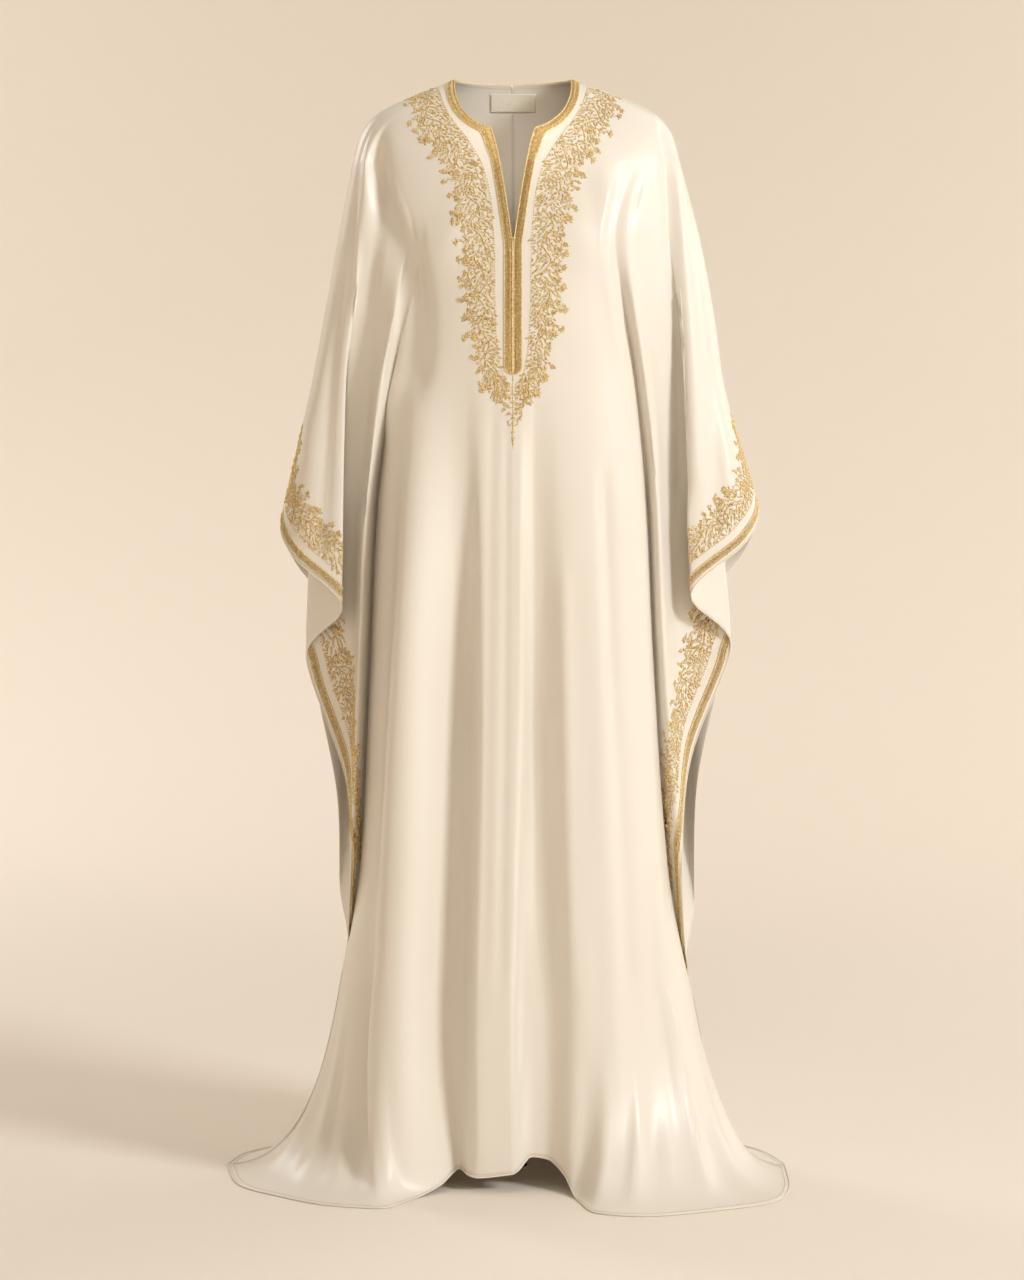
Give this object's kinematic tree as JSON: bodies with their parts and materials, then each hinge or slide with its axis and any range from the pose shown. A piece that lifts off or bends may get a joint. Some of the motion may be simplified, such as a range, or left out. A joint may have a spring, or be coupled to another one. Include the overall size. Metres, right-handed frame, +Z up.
{
  "type": "kaftan",
  "caption": "Floor-length satin kaftan with wide hanging sleeves, a slit round neck and gold braid and embroidery, hollow as if worn.",
  "frame": {"origin": "midway between the two points where the neckline meets the shoulder seams, at their height, where the wearer's shoulders hold it", "axes": "+Z up, the front faces -Y, +X to the viewer's right; the ground is at z = -1.450 m"},
  "size_m": [0.751, 0.5775, 1.4514],
  "materials": {
    "satin": "ivory satin with a soft sheen",
    "gold_braid": "couched metallic gold thread and cord",
    "label_tape": "plain woven tape",
    "bar_thread": "worked thread bars"
  },
  "bodies": {
    "root": {"front_panel": "satin", "back_left_panel": "satin", "back_right_panel": "satin", "neck_braid_left_front": "gold_braid", "sleeve_braid_left_front": "gold_braid", "neck_braid_left_back": "gold_braid", "sleeve_braid_left_back": "gold_braid", "neck_braid_right_front": "gold_braid", "sleeve_braid_right_front": "gold_braid", "neck_braid_right_back": "gold_braid", "sleeve_braid_right_back": "gold_braid", "neck_label": "label_tape", "slit_bar_1": "bar_thread", "slit_bar_2": "bar_thread", "slit_bar_3": "bar_thread"}
  },
  "joints": []
}
